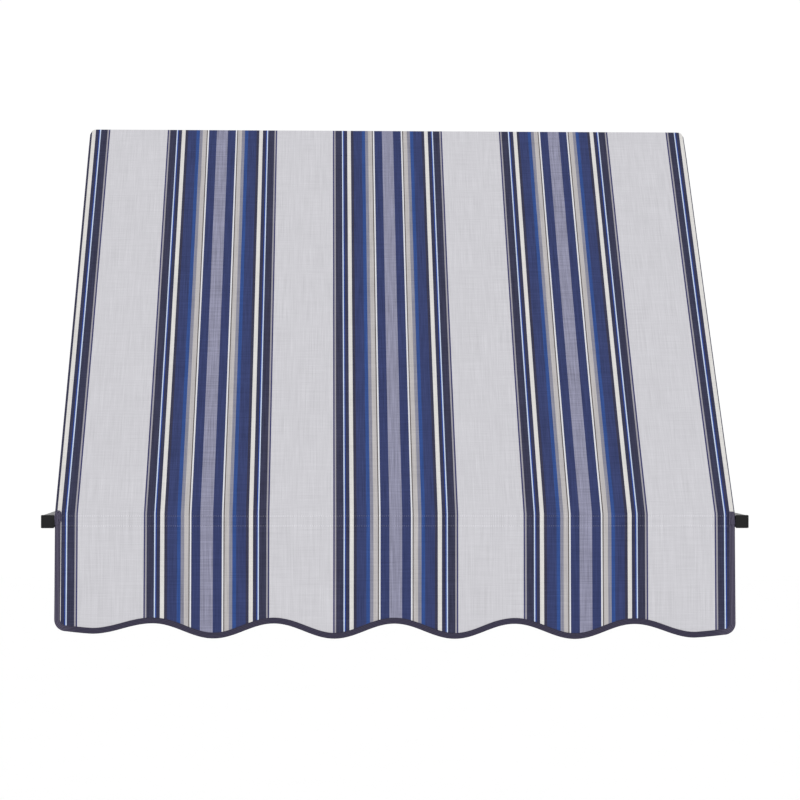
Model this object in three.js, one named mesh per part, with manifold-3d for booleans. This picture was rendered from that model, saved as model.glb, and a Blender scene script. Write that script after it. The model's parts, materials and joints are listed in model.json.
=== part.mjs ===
// A fold-up window awning: a striped canopy and scalloped valance on a square-tube frame that swings up to the wall.
// Millimetres, +Z up. The wall is the plane y = 0, the awning stands out toward -Y, and +X is the right-hand side
// of someone facing the wall. The origin is on the wall face of the middle head bracket, level with the head rail.

import * as THREE from 'three';
import { mergeVertices } from 'three/addons/utils/BufferGeometryUtils.js';
import Module from 'manifold-3d';

// Driving dimensions
const CLOTH_WIDTH = 1219; // a four-foot awning
const CLOTH = 1.2; // thickness of the cloth solids
const DROP = 787; // rail axis down to bar axis
const PROJECTION = 598.5; // wall to bar axis
const TUBE = 22.2; // square tube, outside
const TUBE_WALL = 1.6;
const TUBE_CORNER = 2.2; // outside corner radius
const GAP = 0.3; // between pieces that touch
const ARC_STEPS = 4; // segments in a quarter turn
const ROUND_STEPS = 16; // segments round a bolt or a hole

// Head rail and its fixings
const RAIL_LENGTH = 1190;
const RAIL_Y = -22.1;
const CAP_FLANGE = 2;
const CAP_DEPTH = 12;
const CAP_FIT = 0.4; // slack of a plug inside its tube
const BATTEN = { length: 1170, height: 16, thickness: 2.5 };
const BATTEN_SCREWS = 7;
const BATTEN_SCREW_PITCH = 180;
const SCREW = { radius: 1.8, length: 9.5, headRadius: 3.6, headHeight: 2 };
const HEAD_BRACKET = { width: 40, top: 10, bottom: -60, plate: 3, shelf: 31 };
const HEAD_BRACKET_X = [-500, 0, 500];
const WALL_HOLE_RADIUS = 2.9;
const HEAD_HOLE_Z = [-28, -48];
const RAIL_BOLT = { radius: 3, length: 12, headFlats: 10, headHeight: 4 };

// Arms and wall hinges
const PIVOT_Y = -45;
const PIVOT_RISE = 22; // hinge axis above the bar axis
const ARM_SIDE_GAP = 1.6; // cloth edge to arm
const ARM_NOSE = 13.5; // tube past the bar axis
const ARM_TAIL = 14; // tube past the hinge axis
const ARM_CAP = { side: 23.6, flange: 2.5, depth: 6 };
const EAR = { thickness: 3, gap: 0.5, radius: 15 };
const HINGE_PLATE = { width: 78, height: 62, holeX: 27, holeZ: 20 };
const HINGE_BOLT = { radius: 3, headFlats: 10, headHeight: 4, past: 7 };
const HINGE_NUT_HEIGHT = 5;
const HOLE_SLACK = 0.3; // round a bolt

// Front bar
const BAR_END_GAP = 1; // plug flange to arm, room for the arm's cap to swing past
const PLUG = { flange: 2.2, depth: 25 };
const PIVOT_BOLT = { radius: 3, length: 24, headRadius: 5, headHeight: 3.5 };

// Pocket, valance and binding
const SLEEVE_WIDTH = 1194;
const SLEEVE_CLOTH = 1;
const SLEEVE_TAB = 6.4; // what the two seam rows catch
const VALANCE_TOP = 12; // above the bar axis
const VALANCE_MID = 196.4; // mean lower edge, below the bar axis
const SCALLOP_PITCH = 215.4;
const SCALLOP_SHIFT = -3.5; // the scallops are cut a little off centre
const SCALLOP_RISE = 13.4; // half of crest to trough
const LAST_TROUGH_DEPTH = { left: 5.2, right: 10.8 }; // the outermost troughs are shallower
const VALANCE_SKEW = 1.8; // the right end hangs this much lower than the middle, the left end higher
const END_RISE = 7.5; // from the outermost trough to the side
const END_RISE_POWER = 1.3;
const SCALLOP_STEPS = 8; // points in half a wave
const CORNER_RADIUS = 21;
const BINDING_WIDTH = 10;
const BINDING = 2.4; // thickness, cloth included

// Worked out from the above
const HALF_TUBE = TUBE / 2;
const BAR = { y: -PROJECTION, z: -DROP };
const PIVOT = { y: PIVOT_Y, z: -DROP + PIVOT_RISE };
const ARM_REACH = Math.hypot(BAR.y - PIVOT.y, BAR.z - PIVOT.z);
const ARM_SLOPE = Math.atan2(PIVOT.z - BAR.z, PIVOT.y - BAR.y);
const ARM_X = CLOTH_WIDTH / 2 + ARM_SIDE_GAP + HALF_TUBE;
const RAIL_BACK = RAIL_Y + HALF_TUBE;
const CLOTH_BACK = RAIL_BACK + GAP + CLOTH;
const BATTEN_BACK = CLOTH_BACK + GAP + BATTEN.thickness;
const SLEEVE_OFF = HALF_TUBE + GAP + SLEEVE_CLOTH / 2;
const VALANCE_BACK = BAR.y - SLEEVE_OFF - SLEEVE_CLOTH / 2 - GAP;
const BAR_END = ARM_X - HALF_TUBE - BAR_END_GAP;

const wasm = await Module();
wasm.setup();

const finish = (color, roughness, metalness) => ({ color, roughness, metalness });
const FINISH = {
  black: finish(0x1e1e20, 0.45, 0.3),
  plastic: finish(0x18181a, 0.55, 0),
  zinc: finish(0xb4b6b8, 0.35, 0.9),
  cloth: finish(0xcdccd1, 0.9, 0),
  braid: finish(0x484658, 0.85, 0),
};

// A box from its two opposite corners
function box(low, high) {
  const size = low.map((value, axis) => high[axis] - value);
  const middle = low.map((value, axis) => (value + high[axis]) / 2);
  return new THREE.BoxGeometry(...size).translate(...middle);
}

// A cylinder of the given radius along X, Y or Z, between two values on that axis
function rod(axis, radius, from, to, at = [0, 0, 0], sides = ROUND_STEPS) {
  const geometry = new THREE.CylinderGeometry(radius, radius, to - from, sides);
  if (axis === 'x') geometry.rotateZ(-Math.PI / 2);
  if (axis === 'z') geometry.rotateX(Math.PI / 2);
  const middle = [...at];
  middle['xyz'.indexOf(axis)] += (from + to) / 2;
  return geometry.translate(...middle);
}

// A hexagon bar, measured across its flats
function hexagon(axis, flats, from, to, at) {
  return rod(axis, flats / Math.sqrt(3), from, to, at, 6);
}

// A square with rounded corners, centred on the origin
function roundSquare(side, radius) {
  const half = side / 2 - radius;
  const shape = new THREE.Shape();
  shape.absarc(half, -half, radius, -Math.PI / 2, 0);
  shape.absarc(half, half, radius, 0, Math.PI / 2);
  shape.absarc(-half, half, radius, Math.PI / 2, Math.PI);
  shape.absarc(-half, -half, radius, Math.PI, Math.PI * 1.5);
  return shape;
}

// A square tube along X from one end to the other
function squareTube(from, to) {
  const shape = roundSquare(TUBE, TUBE_CORNER);
  shape.holes.push(roundSquare(TUBE - 2 * TUBE_WALL, TUBE_CORNER - TUBE_WALL));
  return alongX(shape, from, to);
}

// Settings of a plain extrusion. An arc gets two segments for each curve segment.
function extrusion(from, to) {
  return { depth: to - from, bevelEnabled: false, curveSegments: ARC_STEPS / 2 };
}

// An outline drawn in Y and Z, extruded along X
function alongX(shape, from, to) {
  return new THREE.ExtrudeGeometry(shape, extrusion(from, to))
    .rotateX(Math.PI / 2)
    .rotateZ(Math.PI / 2)
    .translate(from, 0, 0);
}

// An outline drawn in X and Z, extruded along Y
function alongY(shape, from, to) {
  return new THREE.ExtrudeGeometry(shape, extrusion(from, to)).rotateX(Math.PI / 2).translate(0, to, 0);
}

// A manifold solid from a closed geometry
function solid(geometry) {
  const bare = geometry.index ? geometry.clone() : geometry;
  bare.deleteAttribute('normal');
  bare.deleteAttribute('uv');
  const merged = mergeVertices(bare, 1e-4);
  return new wasm.Manifold(new wasm.Mesh({
    numProp: 3,
    vertProperties: new Float32Array(merged.attributes.position.array),
    triVerts: new Uint32Array(merged.index.array),
  }));
}

// Joins geometries, then cuts others out of them
function joined(parts, cuts = []) {
  let body = solid(parts[0]);
  for (const part of parts.slice(1)) body = body.add(solid(part));
  for (const cut of cuts) body = body.subtract(solid(cut));
  const mesh = body.getMesh();
  const geometry = new THREE.BufferGeometry();
  geometry.setAttribute('position', new THREE.BufferAttribute(new Float32Array(mesh.vertProperties), 3));
  geometry.setIndex(new THREE.BufferAttribute(new Uint32Array(mesh.triVerts), 1));
  geometry.computeVertexNormals();
  return geometry;
}

// A strip of even thickness that follows a list of [y, z] points, as an outline
function strip(points, thickness) {
  const vectors = points.map(([y, z]) => new THREE.Vector2(y, z));
  const sides = [[], []];
  vectors.forEach((point, i) => {
    const before = vectors[Math.max(i - 1, 0)];
    const after = vectors[Math.min(i + 1, vectors.length - 1)];
    const into = i ? point.clone().sub(before).normalize() : after.clone().sub(point).normalize();
    const out = i < vectors.length - 1 ? after.clone().sub(point).normalize() : into;
    const mitre = new THREE.Vector2(-into.y - out.y, into.x + out.x).normalize();
    const reach = thickness / 2 / mitre.dot(new THREE.Vector2(-into.y, into.x));
    sides[0].push(point.clone().addScaledVector(mitre, reach));
    sides[1].push(point.clone().addScaledVector(mitre, -reach));
  });
  return new THREE.Shape([...sides[0], ...sides[1].reverse()]);
}

// Rounds the inner corners of a list of [y, z] points
function roundedPath(points, radius) {
  const path = [points[0]];
  for (let i = 1; i < points.length - 1; i += 1) {
    const corner = new THREE.Vector2(...points[i]);
    const back = new THREE.Vector2(...points[i - 1]).sub(corner).normalize().multiplyScalar(radius);
    const on = new THREE.Vector2(...points[i + 1]).sub(corner).normalize().multiplyScalar(radius);
    const curve = new THREE.QuadraticBezierCurve(corner.clone().add(back), corner, corner.clone().add(on));
    for (const point of curve.getPoints(ARC_STEPS)) path.push([point.x, point.y]);
  }
  path.push(points.at(-1));
  return path;
}

// The canopy: held down the back of the rail, over its top and down the slope to the front bar
function canopy() {
  const over = HALF_TUBE + GAP + CLOTH / 2;
  const tail = CLOTH_BACK - CLOTH / 2;
  const path = roundedPath([
    [tail, -9],
    [tail, over],
    [RAIL_Y - HALF_TUBE - GAP, over],
    [VALANCE_BACK - CLOTH / 2, BAR.z + VALANCE_TOP + 1],
  ], 2);
  const cloth = alongX(strip(path, CLOTH), -CLOTH_WIDTH / 2, CLOTH_WIDTH / 2);
  return joined([cloth], screwHoles());
}

function screwPlaces() {
  return Array.from({ length: BATTEN_SCREWS }, (_, i) => (i - (BATTEN_SCREWS - 1) / 2) * BATTEN_SCREW_PITCH);
}

function screwHoles() {
  const radius = SCREW.radius + HOLE_SLACK;
  return screwPlaces().map((x) => rod('y', radius, RAIL_BACK - 2 * TUBE_WALL, BATTEN_BACK + GAP, [x, 0, 0]));
}

function headRail() {
  const tube = squareTube(-RAIL_LENGTH / 2, RAIL_LENGTH / 2).translate(0, RAIL_Y, 0);
  const boltRadius = RAIL_BOLT.radius + HOLE_SLACK;
  const boltHoles = HEAD_BRACKET_X.map((x) => rod('z', boltRadius, -TUBE, -HALF_TUBE / 2, [x, RAIL_Y, 0]));
  return joined([tube], [...screwHoles(), ...boltHoles]);
}

// A plug with a flange that closes a square tube along X. side is 1 at the +X end and -1 at the -X end.
function tubePlug(end, side, flangeSide, flange, depth, cuts = []) {
  const inner = TUBE / 2 - TUBE_WALL - CAP_FIT;
  const outer = flangeSide / 2;
  const span = (from, to) => [Math.min(from * side, to * side), Math.max(from * side, to * side)];
  const [plugLow, plugHigh] = span(end - depth, end + GAP + flange / 2);
  const [flangeLow, flangeHigh] = span(end + GAP, end + GAP + flange);
  return joined([
    alongX(roundSquare(2 * inner, 1), plugLow, plugHigh),
    alongX(roundSquare(flangeSide, TUBE_CORNER), flangeLow, flangeHigh),
  ], cuts);
}

function batten() {
  const half = BATTEN.length / 2;
  const front = BATTEN_BACK - BATTEN.thickness;
  const bar = box([-half, front, -BATTEN.height / 2], [half, BATTEN_BACK, BATTEN.height / 2]);
  return joined([bar], screwHoles());
}

// A pan-head screw along Y with its head toward the wall
function battenScrew(x) {
  const seat = BATTEN_BACK + GAP;
  const profile = [
    [0, seat - SCREW.length],
    [SCREW.radius, seat - SCREW.length + 2],
    [SCREW.radius, seat],
    [SCREW.headRadius, seat],
    [SCREW.headRadius, seat + SCREW.headHeight / 2],
    [SCREW.headRadius / 2, seat + SCREW.headHeight],
    [0, seat + SCREW.headHeight],
  ].map(([radius, y]) => new THREE.Vector2(radius, y));
  return new THREE.LatheGeometry(profile, ROUND_STEPS).translate(x, 0, 0);
}

// A bent steel bracket: a plate on the wall and a shelf under the head rail
function headBracket(x) {
  const half = HEAD_BRACKET.width / 2;
  const shelfTop = -HALF_TUBE - GAP;
  const { plate, shelf, top, bottom } = HEAD_BRACKET;
  const profile = new THREE.Shape();
  profile.moveTo(0, bottom);
  profile.lineTo(0, top);
  profile.lineTo(-plate, top);
  profile.lineTo(-plate, shelfTop);
  profile.lineTo(-plate - shelf, shelfTop);
  profile.lineTo(-plate - shelf, shelfTop - plate);
  profile.lineTo(-2 * plate, shelfTop - plate);
  profile.quadraticCurveTo(-plate, shelfTop - plate, -plate, shelfTop - 2 * plate);
  profile.lineTo(-plate, bottom);
  const holes = HEAD_HOLE_Z.map((z) => rod('y', WALL_HOLE_RADIUS, -2 * plate, plate, [x, 0, z]));
  holes.push(rod('z', RAIL_BOLT.radius + HOLE_SLACK, shelfTop - 2 * plate, shelfTop + plate, [x, RAIL_Y, 0]));
  return joined([alongX(profile, x - half, x + half)], holes);
}

// A hexagon-head bolt from below, through the bracket's shelf into the rail
function railBolt(x) {
  const seat = -HALF_TUBE - GAP - HEAD_BRACKET.plate - GAP;
  const { radius, length, headFlats, headHeight } = RAIL_BOLT;
  return joined([
    rod('z', radius, seat - headHeight / 2, seat + length, [x, RAIL_Y, 0]),
    hexagon('z', headFlats, seat - headHeight, seat, [x, RAIL_Y, 0]),
  ]);
}

// A wall plate with two ears that straddle the arm's rear end
function hingeBracket(side) {
  const x = side * ARM_X;
  const halfWidth = HINGE_PLATE.width / 2;
  const halfHeight = HINGE_PLATE.height / 2;
  const low = [x - halfWidth, -EAR.thickness, PIVOT.z - halfHeight];
  const high = [x + halfWidth, 0, PIVOT.z + halfHeight];
  const outline = new THREE.Shape();
  outline.moveTo(-EAR.thickness / 2, PIVOT.z - EAR.radius);
  outline.lineTo(-EAR.thickness / 2, PIVOT.z + EAR.radius);
  outline.lineTo(PIVOT.y, PIVOT.z + EAR.radius);
  outline.absarc(PIVOT.y, PIVOT.z, EAR.radius, Math.PI / 2, Math.PI * 1.5);
  const inner = HALF_TUBE + EAR.gap;
  const ears = [-1, 1].map((way) => {
    const near = x + way * inner;
    const far = near + way * EAR.thickness;
    return alongX(outline, Math.min(near, far), Math.max(near, far));
  });
  const reach = inner + 2 * EAR.thickness;
  const cuts = [rod('x', HINGE_BOLT.radius + HOLE_SLACK, -reach, reach, [x, PIVOT.y, PIVOT.z])];
  for (const across of [-1, 1]) {
    for (const up of [-1, 1]) {
      const at = [x + across * HINGE_PLATE.holeX, 0, PIVOT.z + up * HINGE_PLATE.holeZ];
      cuts.push(rod('y', WALL_HOLE_RADIUS, -2 * EAR.thickness, EAR.thickness, at));
    }
  }
  return joined([box(low, high), ...ears], cuts);
}

// The hinge bolt runs along X with its head on the outer side of the awning
function hingeBolt(side) {
  const seat = HALF_TUBE + EAR.gap + EAR.thickness + GAP;
  const { radius, headFlats, headHeight, past } = HINGE_BOLT;
  const geometry = joined([
    rod('x', radius, -seat - past, seat + headHeight / 2),
    hexagon('x', headFlats, seat, seat + headHeight),
  ]);
  if (side < 0) geometry.rotateY(Math.PI);
  return geometry.translate(side * ARM_X, PIVOT.y, PIVOT.z);
}

function hingeNut(side) {
  const seat = HALF_TUBE + EAR.gap + EAR.thickness + GAP;
  const geometry = joined(
    [hexagon('x', HINGE_BOLT.headFlats, -seat - HINGE_NUT_HEIGHT, -seat)],
    [rod('x', HINGE_BOLT.radius + HOLE_SLACK, -seat - 2 * HINGE_NUT_HEIGHT, 0)],
  );
  if (side < 0) geometry.rotateY(Math.PI);
  return geometry.translate(side * ARM_X, PIVOT.y, PIVOT.z);
}

// An arm lies along its own X, with the hinge axis at its origin and the bar axis at ARM_REACH
function arm(side) {
  const tube = squareTube(-ARM_TAIL, ARM_REACH + ARM_NOSE);
  const innerWall = -side * HALF_TUBE;
  const radius = PIVOT_BOLT.radius + HOLE_SLACK;
  return joined([tube], [
    rod('y', HINGE_BOLT.radius + HOLE_SLACK, -TUBE, TUBE),
    rod('y', radius, innerWall - TUBE_WALL * 2, innerWall + TUBE_WALL * 2, [ARM_REACH, 0, 0]),
  ]);
}

// Turns a piece drawn in an arm's own frame, +X toward the front bar and +Y to the right, into the awning's frame
function onArm(mesh, side) {
  const turn = new THREE.Matrix4().makeRotationX(ARM_SLOPE);
  turn.multiply(new THREE.Matrix4().makeRotationZ(-Math.PI / 2));
  mesh.quaternion.setFromRotationMatrix(turn);
  mesh.position.set(side * ARM_X, PIVOT.y, PIVOT.z);
  return mesh;
}

// The pivot bolt: its head is inside the arm and its shank runs into the bar's end plug
function pivotBolt(side) {
  const seat = ARM_X - HALF_TUBE + TUBE_WALL + GAP;
  const { radius, length, headRadius, headHeight } = PIVOT_BOLT;
  const geometry = joined([
    rod('x', radius, seat - length, seat + headHeight / 2),
    rod('x', headRadius, seat, seat + headHeight),
  ]);
  if (side < 0) geometry.rotateY(Math.PI);
  return geometry.translate(0, BAR.y, BAR.z);
}

function barPlug(side) {
  const end = BAR_END - PLUG.flange - GAP;
  const bore = rod('x', PIVOT_BOLT.radius + HOLE_SLACK, -ARM_X, ARM_X);
  return tubePlug(end, side, TUBE, PLUG.flange, PLUG.depth, [bore]).translate(0, BAR.y, BAR.z);
}

// The pocket: a strip round the bar, with both edges turned up in front of it
function pocketSleeve() {
  const off = SLEEVE_OFF;
  const path = roundedPath([
    [BAR.y - off, BAR.z + off - SLEEVE_TAB],
    [BAR.y - off, BAR.z + off],
    [BAR.y + off, BAR.z + off],
    [BAR.y + off, BAR.z - off],
    [BAR.y - off, BAR.z - off],
    [BAR.y - off, BAR.z - off + SLEEVE_TAB],
  ], 2);
  return alongX(strip(path, SLEEVE_CLOTH), -SLEEVE_WIDTH / 2, SLEEVE_WIDTH / 2);
}

// Height of the scalloped edge at x, measured from the bar axis
function scallopHeight(x) {
  const lastCrest = 2 * SCALLOP_PITCH;
  const lastTrough = 2.5 * SCALLOP_PITCH;
  const past = Math.abs(x - SCALLOP_SHIFT);
  const far = Math.min(past, lastTrough);
  const wave = Math.cos((2 * Math.PI * far) / SCALLOP_PITCH);
  const endDepth = x < 0 ? LAST_TROUGH_DEPTH.left : LAST_TROUGH_DEPTH.right;
  const depth = far > lastCrest ? endDepth : SCALLOP_RISE;
  const low = -depth * (1 - wave) / 2;
  const high = SCALLOP_RISE * (1 + wave) / 2;
  const beyond = Math.max(past - lastTrough, 0) / (CLOTH_WIDTH / 2 - lastTrough);
  const skew = -VALANCE_SKEW * x / (CLOTH_WIDTH / 2);
  return -VALANCE_MID + low + high + skew + END_RISE * beyond ** END_RISE_POWER;
}

// The valance's outline in X and Z, drawn inset from its outer edge
function valanceOutline(inset, top) {
  const side = CLOTH_WIDTH / 2 - inset;
  const radius = CORNER_RADIUS - inset;
  const cornerX = CLOTH_WIDTH / 2 - CORNER_RADIUS;
  const cornerZ = (x) => BAR.z + scallopHeight(x) + CORNER_RADIUS;
  const count = Math.ceil((2 * cornerX) / SCALLOP_PITCH) * 2 * SCALLOP_STEPS;
  const shape = new THREE.Shape();
  shape.moveTo(-side, top);
  shape.lineTo(-side, cornerZ(-cornerX));
  shape.absarc(-cornerX, cornerZ(-cornerX), radius, Math.PI, Math.PI * 1.5);
  for (let i = 1; i < count; i += 1) {
    const x = -cornerX + (2 * cornerX * i) / count;
    const slope = (scallopHeight(x + 1) - scallopHeight(x - 1)) / 2;
    const normal = new THREE.Vector2(-slope, 1).normalize().multiplyScalar(inset);
    shape.lineTo(x + normal.x, BAR.z + scallopHeight(x) + normal.y);
  }
  shape.absarc(cornerX, cornerZ(cornerX), radius, -Math.PI / 2, 0);
  shape.lineTo(side, top);
  return shape;
}

function valance() {
  const outline = valanceOutline(BINDING_WIDTH + GAP, BAR.z + VALANCE_TOP);
  return alongY(outline, VALANCE_BACK - CLOTH, VALANCE_BACK);
}

// The braid round the valance's sides and scallops, thicker than the cloth that it covers
function valanceBinding() {
  const proud = (BINDING - CLOTH) / 2;
  const front = VALANCE_BACK - CLOTH - proud;
  const back = VALANCE_BACK + proud;
  const outer = alongY(valanceOutline(0, BAR.z + VALANCE_TOP), front, back);
  const inner = alongY(valanceOutline(BINDING_WIDTH, BAR.z + VALANCE_TOP + TUBE), front - TUBE, back + TUBE);
  return joined([outer], [inner]);
}

const awning = new THREE.Group();

function add(name, look, geometry) {
  const mesh = new THREE.Mesh(geometry, new THREE.MeshStandardMaterial(look));
  mesh.name = name;
  awning.add(mesh);
  return mesh;
}

add('canopy', FINISH.cloth, canopy());
add('head_rail', FINISH.black, headRail());
add('cloth_batten', FINISH.zinc, batten());
screwPlaces().forEach((x, i) => add(`batten_screw_${i + 1}`, FINISH.zinc, battenScrew(x)));
HEAD_BRACKET_X.forEach((x, i) => {
  const place = ['left', 'middle', 'right'][i];
  add(`head_bracket_${place}`, FINISH.black, headBracket(x));
  add(`rail_bolt_${place}`, FINISH.zinc, railBolt(x));
});

add('front_bar', FINISH.black, squareTube(-BAR_END + PLUG.flange + GAP, BAR_END - PLUG.flange - GAP)
  .translate(0, BAR.y, BAR.z));
add('pocket_sleeve', FINISH.cloth, pocketSleeve());
add('valance', FINISH.cloth, valance());
add('valance_binding', FINISH.braid, valanceBinding());

for (const [place, side] of [['left', -1], ['right', 1]]) {
  const railCap = tubePlug(RAIL_LENGTH / 2, side, TUBE, CAP_FLANGE, CAP_DEPTH).translate(0, RAIL_Y, 0);
  add(`rail_end_cap_${place}`, FINISH.plastic, railCap);
  add(`hinge_bracket_${place}`, FINISH.black, hingeBracket(side));
  add(`hinge_bolt_${place}`, FINISH.zinc, hingeBolt(side));
  add(`hinge_nut_${place}`, FINISH.zinc, hingeNut(side));
  add(`bar_end_plug_${place}`, FINISH.plastic, barPlug(side));
  add(`pivot_bolt_${place}`, FINISH.zinc, pivotBolt(side));
  const { side: capSide, flange, depth } = ARM_CAP;
  onArm(add(`frame_arm_${place}`, FINISH.black, arm(side)), side);
  const frontCap = tubePlug(ARM_REACH + ARM_NOSE, 1, capSide, flange, depth);
  onArm(add(`arm_front_cap_${place}`, FINISH.plastic, frontCap), side);
  const rearCap = tubePlug(ARM_TAIL, -1, TUBE, CAP_FLANGE, depth);
  onArm(add(`arm_rear_cap_${place}`, FINISH.plastic, rearCap), side);
}

export default awning;
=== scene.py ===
import json
import math

import bmesh
import bpy
from bpy.props import FloatProperty, FloatVectorProperty, IntProperty, PointerProperty
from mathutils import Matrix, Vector, noise


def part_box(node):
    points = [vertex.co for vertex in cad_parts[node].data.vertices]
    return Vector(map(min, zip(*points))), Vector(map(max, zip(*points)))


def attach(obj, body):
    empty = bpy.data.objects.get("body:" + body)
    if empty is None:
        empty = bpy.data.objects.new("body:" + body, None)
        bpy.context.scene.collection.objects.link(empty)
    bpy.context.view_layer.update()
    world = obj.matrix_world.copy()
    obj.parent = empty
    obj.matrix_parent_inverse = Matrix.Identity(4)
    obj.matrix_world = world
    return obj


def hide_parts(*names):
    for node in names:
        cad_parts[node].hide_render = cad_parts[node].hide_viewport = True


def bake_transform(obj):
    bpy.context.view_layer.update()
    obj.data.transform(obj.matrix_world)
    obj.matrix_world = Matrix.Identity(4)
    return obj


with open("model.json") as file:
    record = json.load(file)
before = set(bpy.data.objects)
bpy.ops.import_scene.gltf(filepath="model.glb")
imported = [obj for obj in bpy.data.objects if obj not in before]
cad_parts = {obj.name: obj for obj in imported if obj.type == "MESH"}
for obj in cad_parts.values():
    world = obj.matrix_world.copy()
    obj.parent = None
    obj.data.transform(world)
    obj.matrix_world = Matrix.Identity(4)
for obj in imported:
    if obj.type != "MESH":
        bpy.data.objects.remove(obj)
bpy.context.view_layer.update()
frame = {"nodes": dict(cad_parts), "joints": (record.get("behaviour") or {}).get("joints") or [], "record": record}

bl_info = {
    "name": "Fold-up window awning",
    "version": (1, 0, 0),
    "blender": (4, 5, 0),
    "location": "View3D > Sidebar > Awning",
    "description": "Striped canopy, scalloped valance and square-tube frame of a fold-up window awning",
    "category": "Add Mesh",
}

MM = 0.001
WALL_BODY, ARM_BODY, BAR_BODY = "wall_frame", "arms", "front_bar"
METAL_SLOT, PLASTIC_SLOT, ZINC_SLOT = "powder_coat", "black_plastic", "zinc_hardware"
UV = "cloth"
SIDES = (("left", -1), ("right", 1))

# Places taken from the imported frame
RAIL_LOW, RAIL_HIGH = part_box("head_rail")
BAR_LOW, BAR_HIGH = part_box("front_bar")
_, CANOPY_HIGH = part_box("canopy")
VALANCE_LOW, VALANCE_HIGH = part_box("valance")
SLEEVE_LOW, SLEEVE_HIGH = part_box("pocket_sleeve")
HALF_WIDTH = CANOPY_HIGH.x
BAR_Y = (BAR_LOW.y + BAR_HIGH.y) / 2
BAR_Z = (BAR_LOW.z + BAR_HIGH.z) / 2
VALANCE_Y = (VALANCE_LOW.y + VALANCE_HIGH.y) / 2
CLOTH_OFF = 0.9 * MM  # middle of the cloth to the rail's surface
FOLD = Vector((0, VALANCE_Y, BAR_HIGH.z + 1.9 * MM))  # where the slope and the valance planes meet
RAIL_CORNER = Vector((0, RAIL_LOW.y - 0.3 * MM, RAIL_HIGH.z + CLOTH_OFF))
FOLD_RADIUS = 8 * MM
VALANCE_TOP = FOLD.z - 3 * MM
RAIL_TAIL_Z = -9 * MM  # where the cloth ends behind the rail
SLOPE_WAY = (FOLD - RAIL_CORNER).normalized()
SLOPE_INWARD = Vector((0, -SLOPE_WAY.z, SLOPE_WAY.y))

# The scalloped edge, as in the frame's own valance
SCALLOP_PITCH = 215.4 * MM
SCALLOP_SHIFT = -3.5 * MM
SCALLOP_RISE = 13.4 * MM
LEFT_TROUGH_DEPTH, RIGHT_TROUGH_DEPTH = 5.2 * MM, 10.8 * MM
VALANCE_SKEW = 1.8 * MM
END_RISE, END_RISE_POWER = 7.5 * MM, 1.3
EDGE_MIDDLE = BAR_Z - 196.4 * MM
CORNER_RADIUS = 21 * MM
CORNER_X = HALF_WIDTH - CORNER_RADIUS


def srgb(red, green, blue):
    """A colour given in the usual 0 to 255 steps, as linear light."""
    def linear(value):
        value = value / 255
        return value / 12.92 if value <= 0.04045 else ((value + 0.055) / 1.055) ** 2.4
    return (linear(red), linear(green), linear(blue))


# ---------------------------------------------------------------- settings


def measure(name, description, default, low, high):
    """A setting that is a length, here in millimetres."""
    return FloatProperty(name=name, description=description, default=default * MM, min=low * MM,
                         max=high * MM, unit="LENGTH")


def tint(name, description, *default):
    """A setting that is a colour, here in the usual 0 to 255 steps."""
    return FloatVectorProperty(name=name, description=description, default=srgb(*default), size=3, min=0,
                               max=1, subtype="COLOR")


class AwningClothSettings(bpy.types.PropertyGroup):
    """Sizes of the cloth."""
    thickness: measure("Thickness", "Thickness of the woven cloth", 0.7, 0.2, 2)
    sag: measure("Sag", "How far the middle of the slope hangs below a straight line", 4, 0, 40)
    hem: measure("Side hem", "Width of the folded side hems", 20, 5, 60)
    wave: measure("Valance wave", "How far the hanging valance waves out of its plane", 1.6, 0, 20)
    columns: IntProperty(name="Columns", description="Columns of faces across the cloth",
                         default=240, min=20, max=600)


class AwningStripeSettings(bpy.types.PropertyGroup):
    """The woven stripe pattern."""
    repeat: measure("Repeat", "Distance from one stripe cluster to the next", 341.4, 50, 2000)
    shift: measure("Shift", "How far the middle cluster stands right of the middle", 2.1, -200, 200)
    ground: tint("Ground", "Colour of the plain cloth between the clusters", 205, 204, 209)
    warp: measure("Warp pitch", "Distance between the lengthwise threads", 0.42, 0.1, 2)
    weft: measure("Weft pitch", "Distance between the crosswise threads", 0.62, 0.1, 2)


class AwningBindingSettings(bpy.types.PropertyGroup):
    """The braid round the valance."""
    width: measure("Width", "Width of the braid on each face", 10.5, 4, 30)
    thickness: measure("Thickness", "Thickness of one layer of braid", 0.75, 0.3, 2)
    colour: tint("Colour", "Colour of the braid", 55, 52, 70)


class AwningStitchSettings(bpy.types.PropertyGroup):
    """Stitch rows."""
    pitch: measure("Pitch", "Distance from stitch to stitch in the seam rows", 4, 1, 12)
    thread: measure("Thread radius", "Radius of the sewing thread", 0.45, 0.1, 1)
    edge_colour: tint("Edge thread", "Colour of the thread along the binding", 50, 48, 66)


class AwningStageSettings(bpy.types.PropertyGroup):
    """Camera, floor and light."""
    lens: FloatProperty(name="Focal length", description="Focal length of the camera", default=104.8,
                        min=20, max=300, unit="CAMERA")
    floor: measure("Floor height", "Height of the floor below the head rail", -2000, -6000, -1100)
    world: FloatProperty(name="Surroundings", description="Brightness of the white surroundings",
                         default=1.012, min=0, max=5)
    key: FloatProperty(name="Key light", description="Power of the large front light in watts",
                       default=14, min=0, max=2000)


SETTINGS = {
    "awning_cloth": AwningClothSettings,
    "awning_stripes": AwningStripeSettings,
    "awning_binding": AwningBindingSettings,
    "awning_stitches": AwningStitchSettings,
    "awning_stage": AwningStageSettings,
}


# ---------------------------------------------------------------- shader expressions


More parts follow.
